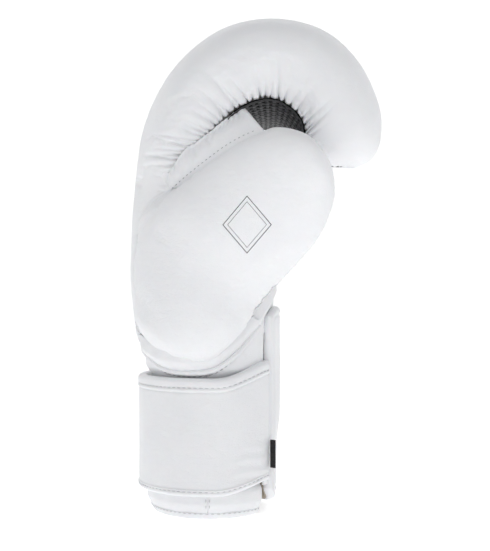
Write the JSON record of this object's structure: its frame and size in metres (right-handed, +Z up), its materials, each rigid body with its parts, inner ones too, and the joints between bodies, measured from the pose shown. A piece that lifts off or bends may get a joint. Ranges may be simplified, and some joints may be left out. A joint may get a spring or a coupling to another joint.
{
  "type": "boxing glove",
  "caption": "Padded left-hand boxing glove with a curled fist, a separate thumb tied by a web, a mesh palm and a padded hook-and-loop wrist strap.",
  "frame": {"origin": "centre of the cuff mouth, on the plane that the cuff hem stands on", "axes": "+Z up the hand towards the knuckles, +X the palm side, -X the back of the hand, -Y the thumb side"},
  "size_m": [0.1478, 0.1489, 0.29],
  "materials": {
    "white_leather": "smooth, slightly glossy coated leather",
    "black_mesh": "perforated synthetic mesh",
    "white_binding": "folded leather binding",
    "white_piping": "corded piping",
    "padding_foam": "layered latex and EVA foam",
    "lining_cloth": "woven nylon lining",
    "flap_lining_cloth": "beige lining",
    "woven_tape": "woven black tape",
    "loop_tape": "loop fastener tape",
    "hook_tape": "nylon hook fastener tape"
  },
  "bodies": {
    "glove": {"hood_leather": "white_leather", "back_foam_outer": "padding_foam", "knuckle_foam_outer": "padding_foam", "fingertip_foam_outer": "padding_foam", "back_foam_inner": "padding_foam", "knuckle_foam_inner": "padding_foam", "fingertip_foam_inner": "padding_foam", "hand_lining": "lining_cloth", "palm_leather": "white_leather", "palm_foam": "padding_foam", "palm_mesh": "black_mesh", "thumb_web": "white_leather", "thumb_gusset": "white_leather", "grip_bar": "white_leather", "hood_piping": "white_piping", "thenar_leather": "white_leather", "thenar_foam": "padding_foam", "cuff_leather_thumb_side": "white_leather", "cuff_leather_little_finger_side": "white_leather", "cuff_foam_thumb_side": "padding_foam", "cuff_foam_little_finger_side": "padding_foam", "cuff_lining": "lining_cloth", "cuff_hem": "white_binding", "loop_patch": "loop_tape"},
    "palm_flap": {"flap_leather": "white_leather", "flap_foam": "padding_foam", "flap_lining": "flap_lining_cloth"},
    "strap_root": {"strap_cover_root": "white_leather", "strap_core_root": "padding_foam", "strap_lining_root": "lining_cloth", "strap_binding_root": "white_binding", "woven_tab": "woven_tape"},
    "strap_middle": {"strap_cover_middle": "white_leather", "strap_core_middle": "padding_foam", "strap_lining_middle": "lining_cloth", "strap_binding_middle": "white_binding"},
    "strap_end": {"strap_cover_end": "white_leather", "strap_core_end": "padding_foam", "strap_lining_end": "lining_cloth", "strap_binding_end": "white_binding", "hook_tape": "hook_tape"},
    "thumb": {"thumb_leather": "white_leather", "thumb_foam": "padding_foam", "thumb_lining": "lining_cloth"}
  },
  "joints": [
    {"name": "flap_hinge", "type": "hinge", "parent": "glove", "child": "palm_flap", "pos_m": [0.03302, 0.03134, 0.0475], "axis": [0, 0, 1], "range_deg": [0, 21]},
    {"name": "strap_root_hinge", "type": "hinge", "parent": "palm_flap", "child": "strap_root", "pos_m": [0.03614, -0.02817, 0.0475], "axis": [0, 0, 1], "range_deg": [0, 100]},
    {"name": "strap_middle_hinge", "type": "hinge", "parent": "strap_root", "child": "strap_middle", "pos_m": [-0.0104, -0.05046, 0.0475], "axis": [0, 0, 1], "range_deg": [0, 70]},
    {"name": "strap_end_hinge", "type": "hinge", "parent": "strap_middle", "child": "strap_end", "pos_m": [-0.04206, -0.01081, 0.0475], "axis": [0, 0, 1], "range_deg": [0, 60]},
    {"name": "thumb_flex", "type": "hinge", "parent": "glove", "child": "thumb", "pos_m": [0.0255, -0.0815, 0.175], "axis": [0.8321, 0, -0.5547], "range_deg": [0, 8], "stiffness_Nm_per_rad": 1.5}
  ],
  "couplings": [
    {"joint": "flap_hinge", "follows": "strap_root_hinge", "ratio": 0.2}
  ]
}
